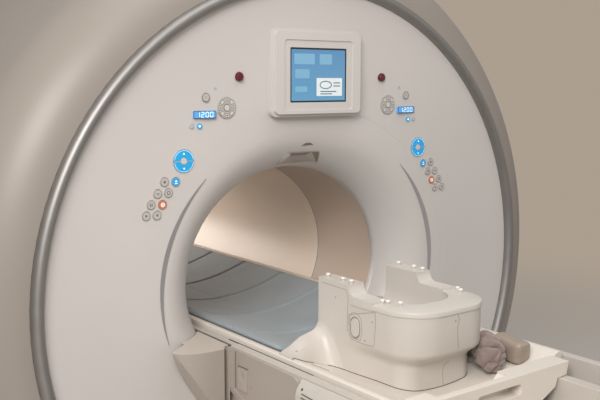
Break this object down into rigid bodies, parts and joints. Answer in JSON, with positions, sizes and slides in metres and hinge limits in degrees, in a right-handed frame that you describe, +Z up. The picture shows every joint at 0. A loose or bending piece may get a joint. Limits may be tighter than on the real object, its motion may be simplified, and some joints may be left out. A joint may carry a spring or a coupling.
{
  "type": "mri scanner",
  "caption": "Magnetic resonance scanner with a wide oval bore, a lit display and keys on its face, and a docked patient table whose tabletop carries a head coil.",
  "frame": {"origin": "on the floor, straight below the isocentre of the bore", "axes": "+Z up, +Y into the bore and away from the table, +X to the right of someone who stands at the table and looks into the bore"},
  "size_m": [2.0898, 4.121, 2.095],
  "materials": {
    "cover": "satin moulded cover",
    "ring": "brushed",
    "liner": "satin",
    "composite": "matt glass fibre",
    "resin": "cast resin with copper windings",
    "vessel": "painted steel",
    "steel": "painted steel",
    "dark": "matt",
    "screen": "lit screen",
    "accent": "satin",
    "window": "gloss",
    "readout": "lit",
    "key_grey": "satin",
    "key_blue": "lit",
    "key_orange": "lit",
    "key_red": "gloss",
    "silver": "painted",
    "dark_metal": "painted",
    "pad": "coated cloth",
    "coil_shell": "satin",
    "rubber": "matt",
    "sleeve": "woven",
    "connector": "satin",
    "panel_tan": "satin"
  },
  "bodies": {
    "gantry": {"front_cover": "cover", "bore_funnel": "cover", "trim_ring": "ring", "front_shoulder": "cover", "side_covers": "cover", "rear_cover": "cover", "rear_funnel": "cover", "front_liner": "liner", "main_liner": "liner", "body_coil": "composite", "gradient_coil": "resin", "magnet_vessel": "vessel", "magnet_feet": "steel", "base_skirts": "cover", "floor_plinth": "dark", "display_housing": "cover", "display_screen": "screen", "accent_inlays": "accent", "light_window": "window", "readouts": "readout", "direction_pads": "key_grey", "small_lamps": "key_blue", "docking_apron": "cover", "bore_bridge": "cover", "table_frame": "cover", "side_panels": "panel_tan", "side_rail_covers": "cover", "column_upper": "cover", "column_lower": "silver", "table_foot": "dark_metal"},
    "tabletop": {"tabletop": "cover", "table_pad": "pad", "head_coil": "coil_shell", "cable_boot": "rubber", "cable_sleeve": "sleeve", "connector_block": "connector"},
    "coil_latch_left": {"coil_latch_left": "coil_shell"},
    "coil_latch_right": {"coil_latch_right": "coil_shell"},
    "stop_key_left": {"stop_key_left": "key_red"},
    "stop_key_right": {"stop_key_right": "key_red"},
    "in_key_left": {"in_key_left": "key_blue"},
    "in_key_right": {"in_key_right": "key_blue"},
    "out_key_left": {"out_key_left": "key_blue"},
    "out_key_right": {"out_key_right": "key_blue"},
    "round_key_1_left": {"round_key_1_left": "key_blue"},
    "round_key_2_left": {"round_key_2_left": "key_grey"},
    "round_key_3_left": {"round_key_3_left": "key_grey"},
    "round_key_4_left": {"round_key_4_left": "key_grey"},
    "round_key_5_left": {"round_key_5_left": "key_orange"},
    "round_key_6_left": {"round_key_6_left": "key_grey"},
    "round_key_7_left": {"round_key_7_left": "key_grey"},
    "round_key_8_left": {"round_key_8_left": "key_grey"},
    "round_key_1_right": {"round_key_1_right": "key_blue"},
    "round_key_2_right": {"round_key_2_right": "key_grey"},
    "round_key_3_right": {"round_key_3_right": "key_grey"},
    "round_key_4_right": {"round_key_4_right": "key_grey"},
    "round_key_5_right": {"round_key_5_right": "key_orange"},
    "round_key_6_right": {"round_key_6_right": "key_grey"},
    "round_key_7_right": {"round_key_7_right": "key_grey"},
    "round_key_8_right": {"round_key_8_right": "key_grey"}
  },
  "joints": [
    {"name": "tabletop_slide", "type": "slide", "parent": "gantry", "child": "tabletop", "axis": [0, 1, 0], "range_m": [-1.55, 0.45]},
    {"name": "coil_latch_left_press", "type": "slide", "parent": "tabletop", "child": "coil_latch_left", "axis": [1, 0, 0], "range_m": [0, 0.003], "stiffness_N_per_m": 800},
    {"name": "coil_latch_right_press", "type": "slide", "parent": "tabletop", "child": "coil_latch_right", "axis": [-1, 0, 0], "range_m": [0, 0.003], "stiffness_N_per_m": 800},
    {"name": "stop_key_left_press", "type": "slide", "parent": "gantry", "child": "stop_key_left", "axis": [0, 1, 0], "range_m": [0, 0.0015], "stiffness_N_per_m": 800},
    {"name": "stop_key_right_press", "type": "slide", "parent": "gantry", "child": "stop_key_right", "axis": [0, 1, 0], "range_m": [0, 0.0015], "stiffness_N_per_m": 800},
    {"name": "in_key_left_press", "type": "slide", "parent": "gantry", "child": "in_key_left", "axis": [0, 1, 0], "range_m": [0, 0.0015], "stiffness_N_per_m": 800},
    {"name": "in_key_right_press", "type": "slide", "parent": "gantry", "child": "in_key_right", "axis": [0, 1, 0], "range_m": [0, 0.0015], "stiffness_N_per_m": 800},
    {"name": "out_key_left_press", "type": "slide", "parent": "gantry", "child": "out_key_left", "axis": [0, 1, 0], "range_m": [0, 0.0015], "stiffness_N_per_m": 800},
    {"name": "out_key_right_press", "type": "slide", "parent": "gantry", "child": "out_key_right", "axis": [0, 1, 0], "range_m": [0, 0.0015], "stiffness_N_per_m": 800},
    {"name": "round_key_1_left_press", "type": "slide", "parent": "gantry", "child": "round_key_1_left", "axis": [0, 1, 0], "range_m": [0, 0.0015], "stiffness_N_per_m": 800},
    {"name": "round_key_2_left_press", "type": "slide", "parent": "gantry", "child": "round_key_2_left", "axis": [0, 1, 0], "range_m": [0, 0.0015], "stiffness_N_per_m": 800},
    {"name": "round_key_3_left_press", "type": "slide", "parent": "gantry", "child": "round_key_3_left", "axis": [0, 1, 0], "range_m": [0, 0.0015], "stiffness_N_per_m": 800},
    {"name": "round_key_4_left_press", "type": "slide", "parent": "gantry", "child": "round_key_4_left", "axis": [0, 1, 0], "range_m": [0, 0.0015], "stiffness_N_per_m": 800},
    {"name": "round_key_5_left_press", "type": "slide", "parent": "gantry", "child": "round_key_5_left", "axis": [0, 1, 0], "range_m": [0, 0.0015], "stiffness_N_per_m": 800},
    {"name": "round_key_6_left_press", "type": "slide", "parent": "gantry", "child": "round_key_6_left", "axis": [0, 1, 0], "range_m": [0, 0.0015], "stiffness_N_per_m": 800},
    {"name": "round_key_7_left_press", "type": "slide", "parent": "gantry", "child": "round_key_7_left", "axis": [0, 1, 0], "range_m": [0, 0.0015], "stiffness_N_per_m": 800},
    {"name": "round_key_8_left_press", "type": "slide", "parent": "gantry", "child": "round_key_8_left", "axis": [0, 1, 0], "range_m": [0, 0.0015], "stiffness_N_per_m": 800},
    {"name": "round_key_1_right_press", "type": "slide", "parent": "gantry", "child": "round_key_1_right", "axis": [0, 1, 0], "range_m": [0, 0.0015], "stiffness_N_per_m": 800},
    {"name": "round_key_2_right_press", "type": "slide", "parent": "gantry", "child": "round_key_2_right", "axis": [0, 1, 0], "range_m": [0, 0.0015], "stiffness_N_per_m": 800},
    {"name": "round_key_3_right_press", "type": "slide", "parent": "gantry", "child": "round_key_3_right", "axis": [0, 1, 0], "range_m": [0, 0.0015], "stiffness_N_per_m": 800},
    {"name": "round_key_4_right_press", "type": "slide", "parent": "gantry", "child": "round_key_4_right", "axis": [0, 1, 0], "range_m": [0, 0.0015], "stiffness_N_per_m": 800},
    {"name": "round_key_5_right_press", "type": "slide", "parent": "gantry", "child": "round_key_5_right", "axis": [0, 1, 0], "range_m": [0, 0.0015], "stiffness_N_per_m": 800},
    {"name": "round_key_6_right_press", "type": "slide", "parent": "gantry", "child": "round_key_6_right", "axis": [0, 1, 0], "range_m": [0, 0.0015], "stiffness_N_per_m": 800},
    {"name": "round_key_7_right_press", "type": "slide", "parent": "gantry", "child": "round_key_7_right", "axis": [0, 1, 0], "range_m": [0, 0.0015], "stiffness_N_per_m": 800},
    {"name": "round_key_8_right_press", "type": "slide", "parent": "gantry", "child": "round_key_8_right", "axis": [0, 1, 0], "range_m": [0, 0.0015], "stiffness_N_per_m": 800}
  ]
}
